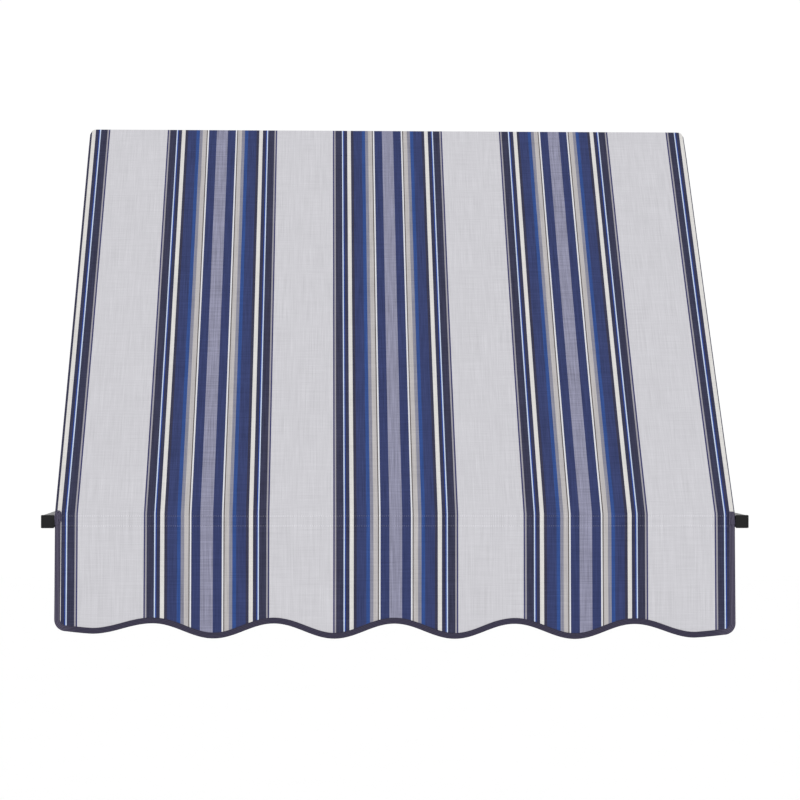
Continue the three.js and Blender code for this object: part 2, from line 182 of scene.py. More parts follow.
class Value:
    """A shader socket that can stand in an expression."""

    def __init__(self, shader, socket):
        self.shader = shader
        self.socket = socket

    def math(self, operation, *others):
        values = dict(enumerate((self, *others)))
        return self.shader.add("ShaderNodeMath", {"operation": operation}, values)

    def reflected(self, operation, other):
        return self.shader.add("ShaderNodeMath", {"operation": operation}, {0: other, 1: self})

    def __add__(self, other):
        return self.math("ADD", other)

    def __sub__(self, other):
        return self.math("SUBTRACT", other)

    def __rsub__(self, other):
        return self.reflected("SUBTRACT", other)

    def __mul__(self, other):
        return self.math("MULTIPLY", other)

    def __truediv__(self, other):
        return self.math("DIVIDE", other)

    def __rtruediv__(self, other):
        return self.reflected("DIVIDE", other)

    __radd__, __rmul__ = __add__, __mul__


class Shader:
    """A new material with one Principled surface."""

    def __init__(self, name, **constants):
        self.material = bpy.data.materials.new(name)
        self.material.use_nodes = True
        self.tree = self.material.node_tree
        self.surface = self.tree.nodes["Principled BSDF"]
        for socket, value in constants.items():
            self.surface.inputs[socket.replace("_", " ")].default_value = value

    def add(self, kind, settings=None, sockets=None, out=0):
        """Adds a node, sets it, fills its sockets with numbers or links, and gives one output."""
        node = self.tree.nodes.new(kind)
        for name, value in (settings or {}).items():
            if name == "stops":
                self._fill_ramp(node.color_ramp, value)
            elif name == "interpolation":
                node.color_ramp.interpolation = value
            else:
                setattr(node, name, value)
        for key, value in (sockets or {}).items():
            if isinstance(value, Value):
                self.tree.links.new(value.socket, node.inputs[key])
            else:
                node.inputs[key].default_value = value
        return Value(self, node.outputs[out])

    @staticmethod
    def _fill_ramp(ramp, stops):
        while len(ramp.elements) > 1:
            ramp.elements.remove(ramp.elements[-1])
        for number, (place, colour) in enumerate(stops):
            element = ramp.elements.new(place) if number else ramp.elements[0]
            element.position = place
            element.color = (*colour, 1) if hasattr(colour, "__len__") else (colour, colour, colour, 1)

    def split(self, vector):
        """X, Y and Z of a vector."""
        parts = self.add("ShaderNodeSeparateXYZ", None, {0: vector}).socket.node.outputs
        return [Value(self, part) for part in parts]

    def place(self, x, y, z=0.0):
        return self.add("ShaderNodeCombineXYZ", None, {0: x, 1: y, 2: z})

    def object_place(self):
        """The point on the piece, in metres."""
        return self.add("ShaderNodeTexCoord", out=3)

    def plain(self, colour):
        """One colour."""
        node = self.add("ShaderNodeRGB")
        node.socket.default_value = (*colour, 1)
        return node

    def mixed(self, factor, first, second, blend="MIX"):
        """A mix of two colours."""
        return self.add("ShaderNodeMix", {"data_type": "RGBA", "blend_type": blend},
                        {0: factor, 6: first, 7: second}, out=2)

    def cloudy(self, vector, scale, detail=2.0):
        """Smooth noise from 0 to 1."""
        return self.add("ShaderNodeTexNoise", {"noise_dimensions": "3D"},
                        {"Vector": vector, "Scale": scale, "Detail": detail})

    def shade(self, colour, factor):
        """A colour made lighter or darker by a number."""
        grey = self.add("ShaderNodeCombineColor", None, {0: factor, 1: factor, 2: factor})
        return self.mixed(1.0, colour, grey, "MULTIPLY")

    def feed(self, socket, value):
        self.tree.links.new(value.socket, self.surface.inputs[socket])

    def bump(self, height, distance, strength=1.0):
        normal = self.add("ShaderNodeBump", None,
                          {"Height": height, "Distance": distance, "Strength": strength})
        self.feed("Normal", normal)


# ---------------------------------------------------------------- materials

# The stripes from the middle of a cluster outward: outer edge in millimetres, colour, and how far
# its warp threads differ from each other
STRIPES = (
    (11.2, srgb(141, 141, 163), 0.36),
    (27.0, srgb(56, 64, 105), 0.28),
    (30.0, srgb(226, 226, 230), 0.05),
    (31.9, srgb(96, 90, 88), 0.2),
    (39.4, srgb(187, 183, 183), 0.1),
    (45.9, srgb(136, 136, 151), 0.25),
    (52.3, srgb(53, 79, 139), 0.2),
    (69.7, srgb(57, 66, 108), 0.28),
    (75.1, srgb(58, 58, 80), 0.36),
    (82.1, srgb(220, 218, 215), 0.06),
    (88.9, srgb(56, 57, 82), 0.36),
    (90.8, srgb(44, 72, 150), 0.15),
    (93.2, srgb(202, 216, 239), 0.08),
    (106.1, srgb(57, 58, 80), 0.36),
    (108.8, srgb(160, 157, 164), 0.1),
    (111.8, srgb(60, 61, 102), 0.2),
)
GROUND_CONTRAST = 0.03

# Single stripes that aren't as wide as their like: from, to, and how much narrower each is, in millimetres
UNEVEN_STRIPES = ((-220, -120, 3.3), (465, 560, -3.1), (580, 590, 1.5))


def stripe_ramps(shader, settings, across):
    """The stripe's colour and its yarn contrast at a distance from the middle of the cloth."""
    half = settings.repeat / 2
    for start, end, narrower in UNEVEN_STRIPES:
        across = across + shader.add("ShaderNodeMapRange", {"clamp": True}, {
            "Value": across, "From Min": start * MM, "From Max": end * MM, "To Max": narrower * MM})
    band = (across - settings.shift).math("PINGPONG", half) / half
    edges = [0] + [edge * MM / half for edge, _, _ in STRIPES]
    colours = [colour for _, colour, _ in STRIPES] + [tuple(settings.ground)]
    contrasts = [contrast for _, _, contrast in STRIPES] + [GROUND_CONTRAST]
    return [
        shader.add("ShaderNodeValToRGB", {"interpolation": "CONSTANT", "stops": list(zip(edges, values))},
                   {0: band})
        for values in (colours, contrasts)
    ]


def striped_cloth(settings):
    """Solution-dyed woven cloth with mirrored clusters of warp stripes."""
    shader = Shader("woven_stripes", Roughness=0.9, Specular_IOR_Level=0.08)
    plan = shader.add("ShaderNodeUVMap", {"uv_map": UV})
    across, along, _ = shader.split(plan)
    stripe, contrast = stripe_ramps(shader, settings, across)

    # Threads: fine ones of the plain weave, and streaks where a thread is thicker or paler
    warp = (across * (math.tau / settings.warp)).math("SINE")
    weft = (along * (math.tau / settings.weft)).math("SINE")
    warp_streak = shader.cloudy(shader.place(across * 900, along * 14), 1, 3)
    weft_streak = shader.cloudy(shader.place(across * 16, along * 800, 7.0), 1, 3)
    broad_warp = shader.cloudy(shader.place(across * 330, along * 9, 11.0), 1, 2)
    broad_weft = shader.cloudy(shader.place(across * 11, along * 300, 15.0), 1, 2)
    patch = shader.cloudy(shader.place(across * 9, along * 9, 3.0), 1, 2)
    thread = warp * contrast * 0.45 + (warp * weft) * 0.03
    slubs = (warp_streak - 0.5) * 0.26 + (weft_streak - 0.5) * 0.17
    bands = (broad_warp - 0.5) * 0.14 + (broad_weft - 0.5) * 0.07
    uneven = (slubs + bands) * (contrast * 9 + 1) + (patch - 0.5) * 0.03
    shader.feed("Base Color", shader.shade(stripe, thread + uneven + 0.985))
    height = warp * weft * 0.5 + (warp_streak - 0.5) * 1.6 + (weft_streak - 0.5) * 1.2
    shader.bump(height, 0.06 * MM, 0.6)
    return shader.material


def ribbed_braid(colour):
    """Folded woven braid with ribs along it and fine threads across it, palest on the two sides' ribs."""
    shader = Shader("ribbed_braid", Roughness=0.85, Specular_IOR_Level=0.12)
    plan = shader.add("ShaderNodeUVMap", {"uv_map": UV})
    along, across, _ = shader.split(plan)
    rib = (across * (math.tau / (2.5 * MM)) + 0.9).math("SINE")
    tooth = (along * (math.tau / (0.9 * MM)) + across * 2600).math("SINE")
    worn = shader.cloudy(shader.place(along * 240, across * 900), 1, 3)
    factor = rib * 0.16 + tooth * 0.07 + (worn - 0.5) * 0.5 + 1
    x = shader.split(shader.object_place())[0]
    side = shader.add("ShaderNodeMapRange", {"clamp": True}, {
        "Value": x.math("ABSOLUTE"), "From Min": HALF_WIDTH - 40 * MM, "From Max": HALF_WIDTH - 12 * MM,
        "To Min": 0.12, "To Max": 0.62})
    crest = (rib * 0.5 + 0.5).math("POWER", 2.5)
    pale = shader.mixed(crest * side, (*colour, 1), (*srgb(122, 116, 136), 1))
    shader.feed("Base Color", shader.shade(pale, factor))
    shader.bump(rib * 0.5 + tooth * 0.35 + worn * 0.4, 0.12 * MM, 0.7)
    return shader.material


def twisted_thread(name, colour):
    """Sewing thread with a light twist."""
    shader = Shader(name, Roughness=0.6, Specular_IOR_Level=0.3)
    twist_on(shader, shader.plain(colour))
    return shader.material


THREAD_GAIN, THREAD_LIFT = 1.36, 0.16


def clear_thread(settings):
    """Clear thread, through which the stripe under it shows, a little lighter."""
    shader = Shader("clear_thread", Roughness=0.5, Specular_IOR_Level=0.3)
    stripe, _ = stripe_ramps(shader, settings, shader.split(shader.object_place())[0])
    lift = (THREAD_LIFT, THREAD_LIFT, THREAD_LIFT, 1)
    twist_on(shader, shader.mixed(1.0, shader.shade(stripe, THREAD_GAIN), lift, "ADD"))
    return shader.material


def twist_on(shader, base):
    """Shades a thread's colour and surface by its twist."""
    x, y, z = shader.split(shader.object_place())
    twist = ((x + z * 1.4 + y * 0.6) * (math.tau / (0.55 * MM))).math("SINE")
    shader.feed("Base Color", shader.shade(base, twist * 0.08 + 1))
    shader.bump(twist, 0.05 * MM, 0.6)


def powder_coat():
    """Satin black powder coat with a faint orange peel."""
    shader = Shader("satin_powder_coat", Metallic=0.0, Specular_IOR_Level=0.5, IOR=1.5)
    place = shader.object_place()
    peel = shader.cloudy(place, 900, 2)
    dust = shader.cloudy(place, 60, 4)
    shader.feed("Base Color", shader.shade(shader.plain(srgb(33, 33, 35)), (dust - 0.5) * 0.5 + 1))
    shader.feed("Roughness", (dust - 0.5) * 0.25 + 0.42)
    shader.bump(peel, 0.05 * MM, 0.5)
    return shader.material


PLASTIC = srgb(20, 20, 21)


def moulded_plastic():
    """Fine-grained moulded black plastic."""
    shader = Shader("grained_plastic", Specular_IOR_Level=0.22)
    place = shader.object_place()
    fine = shader.cloudy(place, 1400, 3)
    broad = shader.cloudy(place, 90, 2)
    shader.feed("Base Color", shader.shade(shader.plain(PLASTIC), (broad - 0.5) * 0.4 + 1))
    shader.feed("Roughness", (fine - 0.5) * 0.2 + 0.55)
    shader.bump(fine, 0.04 * MM, 0.6)
    return shader.material


def zinc_plate():
    """Bright zinc plate with cloudy patches and light brushing."""
    shader = Shader("zinc_plate", Metallic=1.0)
    place = shader.object_place()
    cloud = shader.cloudy(place, 120, 4)
    x, y, z = shader.split(place)
    brush = shader.cloudy(shader.place(x * 60, y * 2500, z * 2500), 1, 2)
    shader.feed("Base Color", shader.mixed(cloud, (*srgb(176, 178, 184), 1), (*srgb(208, 206, 198), 1)))
    shader.feed("Roughness", (cloud - 0.5) * 0.3 + (brush - 0.5) * 0.1 + 0.34)
    shader.bump(brush, 0.02 * MM, 0.4)
    return shader.material


def once(name, maker, *args):
    """A material made at its first use."""
    found = bpy.data.materials.get(name)
    return found or maker(*args)


def cloth_material(scene):
    return once("woven_stripes", striped_cloth, scene.awning_stripes)


def braid_material(scene):
    return once("ribbed_braid", ribbed_braid, tuple(scene.awning_binding.colour))


# ---------------------------------------------------------------- mesh helpers


def new_object(name, mesh, material):
    thing = bpy.data.objects.new(name, mesh)
    bpy.context.scene.collection.objects.link(thing)
    if material:
        mesh.materials.append(material)
    return thing


def mesh_from(name, rows, faces, plans):
    """A smooth mesh from rows of points and faces, with plan coordinates in metres for each point."""
    mesh = bpy.data.meshes.new(name)
    mesh.from_pydata([tuple(corner) for row in rows for corner in row], [], faces)
    plan = [place for row in plans for place in row]
    layer = mesh.uv_layers.new(name=UV)
    for loop in mesh.loops:
        layer.data[loop.index].uv = plan[loop.vertex_index]
    mesh.shade_smooth()
    return mesh


def grid(name, rows, plans, material):
    """A sheet from rows of points of equal length."""
    width = len(rows[0])
    faces = [
        (r * width + c, r * width + c + 1, (r + 1) * width + c + 1, (r + 1) * width + c)
        for r in range(len(rows) - 1) for c in range(width - 1)
    ]
    return new_object(name, mesh_from(name, rows, faces, plans), material)


SHARP_ANGLE = math.radians(50)


def made_plain(thing):
    """The object with its modifiers applied."""
    evaluated = thing.evaluated_get(bpy.context.evaluated_depsgraph_get())
    mesh = bpy.data.meshes.new_from_object(evaluated)
    thing.modifiers.clear()
    old = thing.data
    thing.data = mesh
    mesh.name = thing.name
    mesh.set_sharp_from_angle(angle=SHARP_ANGLE)
    bpy.data.meshes.remove(old)
    return thing


def thickened(thing, thickness):
    """A sheet made into a closed shell, half its thickness to each side."""
    modifier = thing.modifiers.new("thickness", "SOLIDIFY")
    modifier.thickness = thickness
    modifier.offset = 0
    modifier.use_quality_normals = True
    return made_plain(thing)


def swept(name, rings, plans, material):
    """A skin over rings of points, each ring a closed outline, with a face at both ends."""
    size = len(rings[0])
    faces = []
    for r in range(len(rings) - 1):
        for c in range(size):
            d = (c + 1) % size
            faces.append((r * size + c, r * size + d, (r + 1) * size + d, (r + 1) * size + c))
    last = (len(rings) - 1) * size
    faces.append(tuple(reversed(range(size))))
    faces.append(tuple(last + c for c in range(size)))
    thing = new_object(name, mesh_from(name, rings, faces, plans), material)
    outward(thing.data)
    return thing


def outward(mesh):
    """Merges a mesh's doubles and turns its faces outward."""
    work = bmesh.new()
    work.from_mesh(mesh)
    bmesh.ops.remove_doubles(work, verts=work.verts, dist=1e-6)
    bmesh.ops.recalc_face_normals(work, faces=work.faces)
    work.to_mesh(mesh)
    work.free()


def filleted(points, radii, arc_steps):
    """A polyline in Y and Z with its inner corners made round."""
    path = [points[0]]
    for before, corner, after, radius in zip(points, points[1:], points[2:], radii):
        into = (corner - before).normalized()
        out = (after - corner).normalized()
        turn = math.acos(max(-1, min(1, into.dot(out))))
        reach = radius * math.tan(turn / 2)
        start = corner - into * reach
        sideways = (out - into * into.dot(out)).normalized()
        for step in range(arc_steps + 1):
            angle = turn * step / arc_steps
            forward = into * (radius * math.sin(angle))
            path.append(start + forward + sideways * (radius * (1 - math.cos(angle))))
    path.append(points[-1])
    return path


def subdivided(path, spacing):
    """The path with extra points where two are further apart than the spacing."""
    result = [path[0]]
    for before, after in zip(path, path[1:]):
        count = max(1, math.ceil((after - before).length / spacing))
        result += [before.lerp(after, i / count) for i in range(1, count + 1)]
    return result


def lengths(path):
    """Distance along the path at each of its points."""
    total = [0.0]
    for before, after in zip(path, path[1:]):
        total.append(total[-1] + (after - before).length)
    return total


def columns(scene, half):
    """Positions across the cloth, closer together near its sides."""
    count = scene.awning_cloth.columns
    places = []
    for i in range(count + 1):
        t = 2 * i / count - 1
        eased = math.sin(t * math.pi / 2)
        places.append(half * (0.86 * t + 0.14 * eased * abs(eased) ** 0.2))
    return places


# ---------------------------------------------------------------- canopy


def canopy_path():
    """The cloth's side view: up the back of the rail, over its top, down the slope and over the fold."""
    tail = RAIL_HIGH.y + CLOTH_OFF
    corners = [
        Vector((0, tail, RAIL_TAIL_Z)),
        Vector((0, tail, RAIL_CORNER.z)),
        RAIL_CORNER,
        FOLD,
        Vector((0, FOLD.y, VALANCE_TOP)),
    ]
    return filleted(corners, (3 * MM, 3 * MM, FOLD_RADIUS), 6)


def slope_share(point):
    """0 at the rail and 1 at the fold."""
    way = FOLD - RAIL_CORNER
    return (point - RAIL_CORNER).dot(way) / way.length_squared


# How far the cloth leaves a smooth sag: over its whole, at the seam by the bar, and at the rail
DRAPE, PUCKER, GATHER = 1.4 * MM, 0.22 * MM, 0.6 * MM
PUCKER_PITCH = 37 * MM
DROOP = 10 * MM  # of the sides, past the rail's ends
DROOP_SHARE = 0.08  # of the slope, over which they rise again


def canopy_surface(scene):
    """Gives the place of the cloth for a position across and a point of its side view."""
    settings = scene.awning_cloth
    overhang = HALF_WIDTH - RAIL_HIGH.x - 2.5 * MM

    def place(x, point):
        share = slope_share(point)
        spot = Vector((x, point.y, point.z))
        if 0 < share < 1:
            middle = math.sin(math.pi * share)
            spot += SLOPE_INWARD * (settings.sag * middle * (1 - 0.25 * (x / HALF_WIDTH) ** 2))
            drape = noise.noise(Vector((x * 2.3, share * 1.6, 0.7))) * DRAPE * middle
            near_bar = math.exp(-(1 - share) / 0.035) * min(1, (1 - share) / 0.01)
            uneven = 2 * noise.noise(Vector((x * 9, 0, 0)))
            pucker = near_bar * math.sin(x * math.tau / PUCKER_PITCH + uneven) * PUCKER
            near_rail = math.exp(-share / 0.03) * min(1, share / 0.01)
            gather = near_rail * noise.noise(Vector((x * 14, share * 8, 3.1))) * GATHER
            spot += SLOPE_INWARD * (drape + pucker + gather)
        beyond = max(0.0, abs(x) - (HALF_WIDTH - overhang)) / overhang
        if beyond > 0 and share < DROOP_SHARE:
            droop = (1 - math.sqrt(max(0.0, 1 - min(1, beyond) ** 2))) * DROOP
            fade = 1 - max(0.0, min(1.0, share / DROOP_SHARE)) ** 0.6
            spot.z -= droop * fade
        return spot

    return place


class AWNING_OT_canopy(bpy.types.Operator):
    """Make the striped canopy, held on the head rail and stretched to the front bar"""
    bl_idname = "awning.canopy"
    bl_label = "Canopy"

    def execute(self, context):
        scene = context.scene
        settings = scene.awning_cloth
        path = subdivided(canopy_path(), 8 * MM)
        along = lengths(path)
        place = canopy_surface(scene)
        across = columns(scene, HALF_WIDTH)
        rows = [[place(x, point) for x in across] for point in path]
        plans = [[(x, -s) for x in across] for s in along]
        cloth = grid("canopy_cloth", rows, plans, cloth_material(scene))
        thickened(cloth, settings.thickness)

        hems = self.side_hems(scene, path, along, place)
        for piece in (cloth, hems):
            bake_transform(piece)
        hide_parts("canopy")
        return {"FINISHED"}

    @staticmethod
    def side_hems(scene, path, along, place):
        """The turned-in edges under both sides of the slope, bonded flat."""
        settings = scene.awning_cloth
        slope = [(point, s) for point, s in zip(path, along) if 0.03 < slope_share(point) < 0.965]
        below = SLOPE_INWARD * (settings.thickness + 0.12 * MM)
        edge = 0.5 * MM
        corners, plan, faces = [], [], []
        steps = 5
        for _, side in SIDES:
            start = len(corners)
            for point, s in slope:
                for i in range(steps + 1):
                    inset = edge + (settings.hem - edge) * i / steps
                    corners.append(place(side * (HALF_WIDTH - inset), point) + below)
                    plan.append((side * (HALF_WIDTH + inset), -s))
            for r in range(len(slope) - 1):
                for c in range(steps):
                    a = start + r * (steps + 1) + c
                    quad = (a, a + 1, a + steps + 2, a + steps + 1)
                    faces.append(quad if side < 0 else tuple(reversed(quad)))
        mesh = mesh_from("side_hems", [corners], faces, [plan])
        hems = new_object("side_hems", mesh, cloth_material(scene))
        return thickened(hems, settings.thickness * 0.9)


# ---------------------------------------------------------------- valance


def scallop_height(x):
    """Height of the valance's lower edge away from its corners."""
    last_crest, last_trough = 2 * SCALLOP_PITCH, 2.5 * SCALLOP_PITCH
    past = abs(x - SCALLOP_SHIFT)
    far = min(past, last_trough)
    wave = math.cos(math.tau * far / SCALLOP_PITCH)
    end_depth = LEFT_TROUGH_DEPTH if x < 0 else RIGHT_TROUGH_DEPTH
    depth = end_depth if far > last_crest else SCALLOP_RISE
    beyond = max(past - last_trough, 0) / (HALF_WIDTH - last_trough)
    hang = -depth * (1 - wave) / 2 + SCALLOP_RISE * (1 + wave) / 2
    return EDGE_MIDDLE + hang - VALANCE_SKEW * x / HALF_WIDTH + END_RISE * beyond ** END_RISE_POWER


def corner_height(x):
    """Height of the middle of the rounded corner on the side of x."""
    return scallop_height(math.copysign(CORNER_X, x)) + CORNER_RADIUS


def edge_height(x, inset=0.0):
    """Height of the lower edge with its rounded corners, moved in by an inset."""
    past = abs(x) - CORNER_X
    if past <= 0:
        return scallop_height(x) + inset
    radius = CORNER_RADIUS - inset
    return corner_height(x) - math.sqrt(max(radius ** 2 - past ** 2, 0))


# Lengths in metres of the hanging valance's two waves, and of the small puckers at its seam
LONG_WAVE, SHORT_WAVE, SEAM_WAVE = 0.41, 0.263, 0.031
SEAM_PUCKER = 0.12 * MM


def valance_wave(scene, x, z):
    """How far the hanging valance stands out of its plane, in Y."""
    free = max(0.0, BAR_LOW.z - 6 * MM - z) / 0.2
    swing = math.sin(x * math.tau / LONG_WAVE + 0.6) * 0.6 + math.sin(x * math.tau / SHORT_WAVE + 2.1) * 0.4
    seam = math.exp(-abs(z - (BAR_LOW.z + 2 * MM)) / (9 * MM))
    uneven = 2 * noise.noise(Vector((x * 11, 5, 0)))
    pucker = seam * math.sin(x * math.tau / SEAM_WAVE + uneven) * SEAM_PUCKER
    return scene.awning_cloth.wave * swing * min(free, 1.2) ** 1.4 + pucker


def on_valance(scene, x, z, off=0.0):
    """The point of the hanging valance at a place across and up, moved out of the cloth's middle."""
    return Vector((x, VALANCE_Y + valance_wave(scene, x, z) + off, z))


class AWNING_OT_valance(bpy.types.Operator):
    """Make the scalloped valance that hangs from the front bar"""
    bl_idname = "awning.valance"
    bl_label = "Valance"

    def execute(self, context):
        scene = context.scene
        inset = 1.2 * MM
        half = HALF_WIDTH - inset
        across = columns(scene, half)
        levels = 30
        start = lengths(canopy_path())[-1]
        rows, plans = [], []
        for r in range(levels + 1):
            row, plan = [], []
            for x in across:
                low = edge_height(x, inset)
                z = VALANCE_TOP + (low - VALANCE_TOP) * r / levels
                row.append(on_valance(scene, x, z))
                plan.append((x, -start - (VALANCE_TOP - z)))
            rows.append(row)
            plans.append(plan)
        cloth = grid("valance_cloth", rows, plans, cloth_material(scene))
        thickened(cloth, scene.awning_cloth.thickness)
        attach(cloth, BAR_BODY)
        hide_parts("valance")
        return {"FINISHED"}


class AWNING_OT_pocket(bpy.types.Operator):
    """Make the pocket that the front bar slides into"""
    bl_idname = "awning.pocket"
    bl_label = "Bar pocket"

    def execute(self, context):
        scene = context.scene
        half = SLEEVE_HIGH.x
        off = (SLEEVE_HIGH.z - SLEEVE_LOW.z) / 2 - 0.5 * MM
        tab = 6.4 * MM
        corners = [
            Vector((0, BAR_Y - off, BAR_Z + off - tab)),
            Vector((0, BAR_Y - off, BAR_Z + off)),
            Vector((0, BAR_Y + off, BAR_Z + off)),
            Vector((0, BAR_Y + off, BAR_Z - off)),
            Vector((0, BAR_Y - off, BAR_Z - off)),
            Vector((0, BAR_Y - off, BAR_Z - off + tab)),
        ]
        path = subdivided(filleted(corners, (2.6 * MM,) * 4, 5), 2.5 * MM)
        along = lengths(path)
        across = columns(scene, half)
        middle = Vector((0, BAR_Y, BAR_Z))

        def place(x, point):
            away = (point - middle).normalized()
            loose = noise.noise(Vector((x * 18, point.y * 60, point.z * 60))) * 0.12 * MM
            return Vector((x, point.y, point.z)) + away * loose

        rows = [[place(x, point) for x in across] for point in path]
        plans = [[(x, s) for x in across] for s in along]
        sleeve = grid("pocket_sleeve_cloth", rows, plans, cloth_material(scene))
        thickened(sleeve, scene.awning_cloth.thickness * 0.9)
        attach(sleeve, BAR_BODY)
        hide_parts("pocket_sleeve")
        return {"FINISHED"}


# ---------------------------------------------------------------- binding


def binding_line():
    """Points of the valance's outer edge from its top left round to its top right, with the way inward."""
    side_steps, corner_steps, edge_steps = 46, 14, 300

    def half(side):
        """The side and corner at one end, from the top down."""
        middle = corner_height(side)
        part = []
        for i in range(side_steps):
            z = VALANCE_TOP + (middle - VALANCE_TOP) * i / side_steps
            part.append((Vector((side * HALF_WIDTH, 0, z)), Vector((-side, 0, 0))))
        for i in range(corner_steps):
            angle = math.pi / 2 * i / corner_steps
            out = Vector((side * math.cos(angle), 0, -math.sin(angle)))
            part.append((Vector((side * CORNER_X, 0, middle)) + out * CORNER_RADIUS, -out))
        return part

    edge = []
    for i in range(edge_steps + 1):
        x = -CORNER_X + 2 * CORNER_X * i / edge_steps
        slope = (scallop_height(x + 0.5 * MM) - scallop_height(x - 0.5 * MM)) / MM
        edge.append((Vector((x, 0, scallop_height(x))), Vector((-slope, 0, 1)).normalized()))
    return half(-1) + edge + list(reversed(half(1)))


def binding_outline(width, thickness, cloth):
    """The folded braid's section: distance in from the edge, and distance out of the cloth's middle."""
    inner = cloth / 2 + 0.08 * MM
    outer = inner + thickness
    ribs = 4
    steps = 20
    front = []
    for i in range(steps + 1):
        t = i / steps
        crown = abs(math.sin(math.pi * ribs * t)) ** 0.7 * 0.16 * MM
        edge = min(1, (1 - t) * 12) ** 0.5
        front.append((outer + (width - outer) * t, inner + (outer - inner + crown) * edge))
    turn = [(outer - outer * math.cos(a), outer * math.sin(a))
            for a in (math.pi / 2 * (1 - i / 4) for i in range(1, 8))]
    back = [(inset, -out) for inset, out in front]
    lining = [(width, -inner), (inner * 1.2, -inner), (inner * 1.2, inner), (width, inner)]
    return list(reversed(front)) + turn + back + lining


class AWNING_OT_binding(bpy.types.Operator):
    """Make the braid round the valance's edge, with its crumpled ends at the bar"""
    bl_idname = "awning.binding"
    bl_label = "Binding"

    def execute(self, context):
        scene = context.scene
        settings = scene.awning_binding
        material = braid_material(scene)
        outline = binding_outline(settings.width, settings.thickness, scene.awning_cloth.thickness)
        line = binding_line()
        run = lengths([spot for spot, _ in line])
        rings, plans = [], []
        for (spot, way), s in zip(line, run):
            uneven = noise.noise(Vector((s * 35, 1.3, 0))) * 0.25 * MM
            ring, plan = [], []
            for inset, out in outline:
                place = spot + way * (inset + uneven * min(1, inset / (4 * MM)))
                ring.append(on_valance(scene, place.x, place.z, -out))
                plan.append((s, inset if out > 0 else -inset))
            rings.append(ring)
            plans.append(plan)
        braid = swept("valance_binding_braid", rings, plans, material)
        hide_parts("valance_binding")
        ends = [self.tail(scene, side) for side in (-1, 1)]
        for piece in (braid, *ends):
            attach(piece, BAR_BODY)
        return {"FINISHED"}

    @staticmethod
    def tail(scene, side):
        """The loose end of the braid at the fold: turned over in a loop on the left, cut on the right."""
        settings = scene.awning_binding
        half = settings.width / 2 * (0.84 if side < 0 else 0.96)
        if side < 0:
            offsets = ((0, -19), (0.2, -13), (0.4, -8), (0.3, -3.5), (-0.7, 0.6), (-2.3, 0.9), (-3.2, -3),
                       (-3.2, -8), (-2.8, -13))
        else:
            offsets = ((0, -19), (0, -13), (-0.3, -9), (-0.6, -4), (-0.4, 0.5), (-0.2, 3.6))
        points = [Vector((side * (HALF_WIDTH - half + away * MM), up * MM, 0)) for away, up in offsets]
        curve = smooth_route(points, 10)

        def laid(x, up, height):
            """A point at a distance up the cloth from the fold, and a height off it."""
            if up <= 0:
                return Vector((x, FOLD.y - height, FOLD.z + up))
            spot = FOLD - SLOPE_WAY * up - SLOPE_INWARD * height
            return Vector((x, spot.y, spot.z))

        hump = (1.4 if side < 0 else 0.8) * MM
        steps = 12
        rings, plans = [], []
        total = lengths(curve)
        for i, (point, s) in enumerate(zip(curve, total)):
            ahead = curve[min(i + 1, len(curve) - 1)] - curve[max(i - 1, 0)]
            across = Vector((ahead.y, -ahead.x, 0)).normalized()
            lift = 1.5 * MM + math.sin(math.pi * s / total[-1]) * hump
            crumple = noise.noise(Vector((s * 260, side, 0))) * 0.7 * MM
            ring, plan = [], []
            for k in range(2 * steps):
                turn = math.tau * k / (2 * steps)
                reach = math.cos(turn)
                wide = half * math.copysign(abs(reach) ** 0.7, reach)
                thick = 0.95 * MM * math.sin(turn)
                ridge = 0
                if thick > 0:
                    ridge = abs(math.sin(2.5 * math.pi * (reach + 1) / 2)) * 0.2 * MM
                wobble = noise.noise(Vector((s * 160, reach * 2.5, 4 + side))) * 0.7 * MM
                spot = point + across * wide
                ring.append(laid(spot.x, spot.y, lift + thick + ridge + crumple * 0.4 + wobble))
                plan.append((s, half + wide))
            rings.append(ring)
            plans.append(plan)
        name = "binding_loop_left" if side < 0 else "binding_end_right"
        return swept(name, rings, plans, braid_material(scene))


def smooth_route(points, steps):
    """A smooth curve through given points."""
    result = []
    for i in range(len(points) - 1):
        before = points[max(i - 1, 0)]
        a, b = points[i], points[i + 1]
        after = points[min(i + 2, len(points) - 1)]
        squared = 2 * before - 5 * a + 4 * b - after
        cubed = 3 * a - before - 3 * b + after
        for k in range(steps):
            t = k / steps
            result.append(0.5 * (2 * a + (b - before) * t + squared * t ** 2 + cubed * t ** 3))
    result.append(points[-1])
    return result


# ---------------------------------------------------------------- stitches


class Tree:
    """A new Geometry Nodes group with a mesh going in and out, and named inputs."""

    def __init__(self, name, **inputs):
        self.group = bpy.data.node_groups.new(name, "GeometryNodeTree")
        face = self.group.interface
        face.new_socket("Geometry", in_out="INPUT", socket_type="NodeSocketGeometry")
        for label, kind in inputs.items():
            face.new_socket(label.replace("_", " "), in_out="INPUT", socket_type="NodeSocket" + kind)
        face.new_socket("Geometry", in_out="OUTPUT", socket_type="NodeSocketGeometry")
        self.given = self.group.nodes.new("NodeGroupInput").outputs

    def add(self, kind, settings=None, sockets=None):
        """Adds a node, sets it, and fills its sockets with values or links."""
        node = self.group.nodes.new(kind)
        for name, value in (settings or {}).items():
            setattr(node, name, value)
        for key, value in (sockets or {}).items():
            if isinstance(value, bpy.types.NodeSocket):
                self.group.links.new(value, node.inputs[key])
            else:
                node.inputs[key].default_value = value
        return node

    def end(self, instances):
        """Makes the instances real, gives them the material and sends them out."""
        real = self.add("GeometryNodeRealizeInstances", None, {0: instances.outputs[0]})
        coloured = self.add("GeometryNodeSetMaterial", None,
                            {"Geometry": real.outputs[0], "Material": self.given["Material"]})
        self.add("NodeGroupOutput", None, {0: coloured.outputs[0]})
        return self.group


